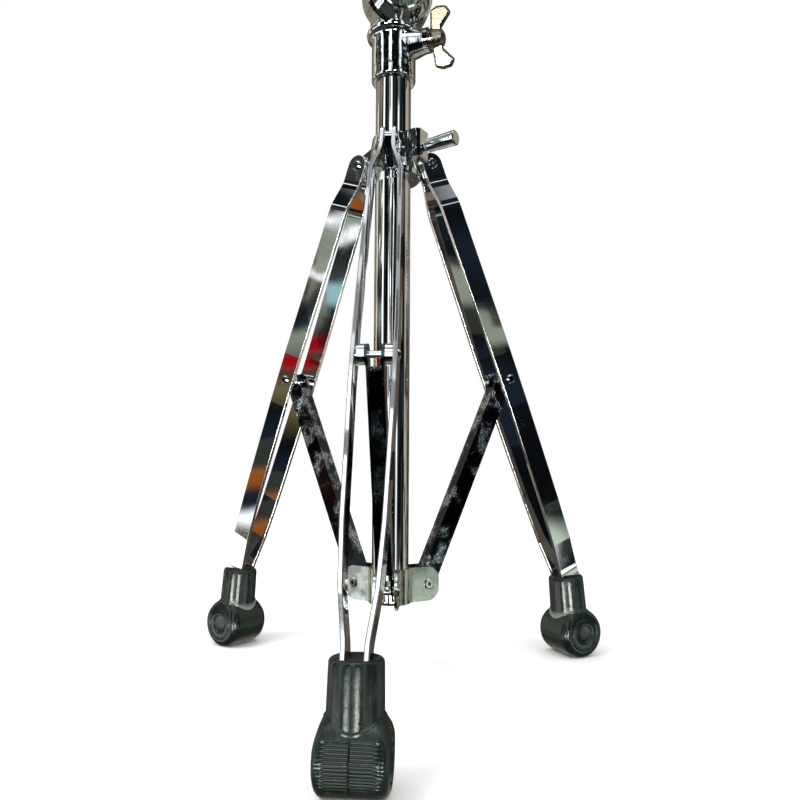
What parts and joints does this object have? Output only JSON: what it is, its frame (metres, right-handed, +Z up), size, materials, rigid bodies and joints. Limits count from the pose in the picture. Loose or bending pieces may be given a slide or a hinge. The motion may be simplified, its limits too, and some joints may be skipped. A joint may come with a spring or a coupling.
{
  "type": "cymbal boom stand",
  "caption": "Folding tripod cymbal stand with double-strip legs, telescoping tubes with height clamps, a ratchet boom tilter, a boom arm and a felted cymbal rod.",
  "frame": {"origin": "on the main tube's axis, at the level of the floor the feet stand on", "axes": "+Z up along the main tube, -Y towards the front leg, +X to the right"},
  "size_m": [0.3492, 0.3031, 1.2465],
  "materials": {
    "chromed_steel": "mirror chrome over tube and strip steel, light wiping marks",
    "chromed_casting": "mirror chrome over a slightly wavy casting",
    "bright_plated_steel": "bright zinc plate, satin",
    "black_rubber": "moulded rubber, semi-gloss",
    "black_nylon": "moulded nylon",
    "grey_felt": "pressed wool felt",
    "blank_badge": "polished disc with a fine ring, no mark",
    "brass": "turned brass"
  },
  "bodies": {
    "base": {"lower_tube": "chromed_steel", "tube_end_plug": "black_nylon", "collar_plate_front_right": "bright_plated_steel", "collar_plate_rear": "bright_plated_steel", "collar_plate_front_left": "bright_plated_steel", "lower_rivets": "chromed_steel", "height_clamp_body": "chromed_casting", "height_clamp_badge": "blank_badge", "height_clamp_shoe": "brass"},
    "sliding_collar": {"upper_collar": "chromed_casting", "leg_top_rivets": "chromed_steel"},
    "thumb_bolt": {"collar_thumb_bolt": "chromed_casting"},
    "front_leg": {"front_leg_strip_a": "chromed_steel", "front_leg_strip_b": "chromed_steel", "front_middle_rivet": "chromed_steel", "front_leg_spacers": "chromed_steel", "front_foot": "black_rubber"},
    "front_strut_arm": {"front_strut": "chromed_steel"},
    "right_leg": {"right_leg_strip_a": "chromed_steel", "right_leg_strip_b": "chromed_steel", "right_middle_rivet": "chromed_steel", "right_leg_spacers": "chromed_steel", "right_foot": "black_rubber"},
    "right_strut_arm": {"right_strut": "chromed_steel"},
    "left_leg": {"left_leg_strip_a": "chromed_steel", "left_leg_strip_b": "chromed_steel", "left_middle_rivet": "chromed_steel", "left_leg_spacers": "chromed_steel", "left_foot": "black_rubber"},
    "left_strut_arm": {"left_strut": "chromed_steel"},
    "height_clamp_wing": {"height_clamp_wing_bolt": "chromed_casting"},
    "lower_bushing": {"height_clamp_bushing": "black_nylon"},
    "middle_mast": {"middle_tube": "chromed_steel", "memory_lock_ring": "chromed_casting", "memory_lock_screw": "chromed_steel", "upper_clamp_body": "chromed_casting", "upper_clamp_badge": "blank_badge", "upper_clamp_shoe": "brass"},
    "upper_clamp_wing": {"upper_clamp_wing_bolt": "chromed_casting"},
    "upper_bushing": {"upper_clamp_bushing": "black_nylon"},
    "top_mast": {"top_tube": "chromed_steel", "tilter_base": "chromed_casting"},
    "tilter_wing": {"tilter_wing_bolt": "chromed_casting"},
    "boom_holder": {"tilter_clamp": "chromed_casting"},
    "boom_wing": {"boom_wing_bolt": "chromed_casting"},
    "boom": {"boom_arm": "chromed_steel", "boom_end_cap": "black_rubber", "cymbal_tilter_base": "chromed_casting"},
    "cymbal_tilter_wing": {"cymbal_tilter_bolt": "chromed_casting"},
    "cymbal_head": {"cymbal_tilter_head": "chromed_casting", "cymbal_rod": "chromed_steel", "cymbal_sleeve": "black_nylon", "cymbal_washer": "chromed_steel", "lower_felt": "grey_felt", "upper_felt": "grey_felt"},
    "cymbal_nut": {"cymbal_wing_nut": "chromed_casting"}
  },
  "joints": [
    {"name": "tripod_fold", "type": "slide", "parent": "base", "child": "sliding_collar", "axis": [0, 0, 1], "range_m": [0, 0.0269]},
    {"name": "thumb_bolt_turn", "type": "hinge", "parent": "sliding_collar", "child": "thumb_bolt", "pos_m": [0.03464, -0.02, 0.4115], "axis": [0.866, -0.5, 0], "continuous": true},
    {"name": "front_leg_fold", "type": "hinge", "parent": "sliding_collar", "child": "front_leg", "pos_m": [0, -0.033, 0.41], "axis": [1, 0, 0], "range_deg": [0, 16.6]},
    {"name": "front_strut_fold", "type": "hinge", "parent": "front_leg", "child": "front_strut_arm", "pos_m": [0, -0.10227, 0.23415], "axis": [1, 0, 0], "range_deg": [-34, 0]},
    {"name": "right_leg_fold", "type": "hinge", "parent": "sliding_collar", "child": "right_leg", "pos_m": [0.02858, 0.0165, 0.41], "axis": [-0.5, 0.866, 0], "range_deg": [0, 16.6]},
    {"name": "right_strut_fold", "type": "hinge", "parent": "right_leg", "child": "right_strut_arm", "pos_m": [0.08857, 0.05113, 0.23415], "axis": [-0.5, 0.866, 0], "range_deg": [-34, 0]},
    {"name": "left_leg_fold", "type": "hinge", "parent": "sliding_collar", "child": "left_leg", "pos_m": [-0.02858, 0.0165, 0.41], "axis": [-0.5, -0.866, 0], "range_deg": [0, 16.6]},
    {"name": "left_strut_fold", "type": "hinge", "parent": "left_leg", "child": "left_strut_arm", "pos_m": [-0.08857, 0.05113, 0.23415], "axis": [-0.5, -0.866, 0], "range_deg": [-34, 0]},
    {"name": "height_clamp_wing_turn", "type": "hinge", "parent": "base", "child": "height_clamp_wing", "pos_m": [0.03477, -0.00932, 0.504], "axis": [0.9659, -0.2588, 0], "continuous": true},
    {"name": "middle_tube_turn", "type": "hinge", "parent": "base", "child": "lower_bushing", "pos_m": [0, 0, 0.531], "axis": [0, 0, 1], "continuous": true},
    {"name": "middle_tube_slide", "type": "slide", "parent": "lower_bushing", "child": "middle_mast", "axis": [0, 0, 1], "range_m": [0, 0.12]},
    {"name": "upper_clamp_wing_turn", "type": "hinge", "parent": "middle_mast", "child": "upper_clamp_wing", "pos_m": [0.02898, -0.00777, 0.7408], "axis": [0.9659, -0.2588, 0], "continuous": true},
    {"name": "top_tube_turn", "type": "hinge", "parent": "middle_mast", "child": "upper_bushing", "pos_m": [0, 0, 0.77], "axis": [0, 0, 1], "continuous": true},
    {"name": "top_tube_slide", "type": "slide", "parent": "upper_bushing", "child": "top_mast", "axis": [0, 0, 1], "range_m": [-0.05, 0.08]},
    {"name": "tilter_wing_turn", "type": "hinge", "parent": "top_mast", "child": "tilter_wing", "pos_m": [-0.015, 0, 0.948], "axis": [-1, 0, 0], "continuous": true},
    {"name": "boom_tilt", "type": "hinge", "parent": "top_mast", "child": "boom_holder", "pos_m": [0, 0, 0.948], "axis": [-1, 0, 0], "range_deg": [-60, 38]},
    {"name": "boom_wing_turn", "type": "hinge", "parent": "boom_holder", "child": "boom_wing", "pos_m": [0.045, 0, 0.948], "axis": [1, 0, 0], "continuous": true},
    {"name": "boom_slide", "type": "slide", "parent": "boom_holder", "child": "boom", "axis": [0, -0.6157, 0.788], "range_m": [-0.15, 0.055]},
    {"name": "cymbal_tilter_wing_turn", "type": "hinge", "parent": "boom", "child": "cymbal_tilter_wing", "pos_m": [0.021, -0.1613, 1.15446], "axis": [-1, 0, 0], "continuous": true},
    {"name": "cymbal_tilt", "type": "hinge", "parent": "boom", "child": "cymbal_head", "pos_m": [0.021, -0.1613, 1.15446], "axis": [1, 0, 0], "range_deg": [-60, 60]},
    {"name": "cymbal_wing_nut_turn", "type": "hinge", "parent": "cymbal_head", "child": "cymbal_nut", "pos_m": [0.0257, -0.1613, 1.20446], "axis": [0, 0, 1], "continuous": true}
  ],
  "couplings": [
    {"joint": "front_leg_fold", "follows": "tripod_fold", "rad_per_m": 10.684},
    {"joint": "front_strut_fold", "follows": "tripod_fold", "rad_per_m": -21.974},
    {"joint": "right_leg_fold", "follows": "tripod_fold", "rad_per_m": 10.684},
    {"joint": "right_strut_fold", "follows": "tripod_fold", "rad_per_m": -21.974},
    {"joint": "left_leg_fold", "follows": "tripod_fold", "rad_per_m": 10.684},
    {"joint": "left_strut_fold", "follows": "tripod_fold", "rad_per_m": -21.974}
  ]
}
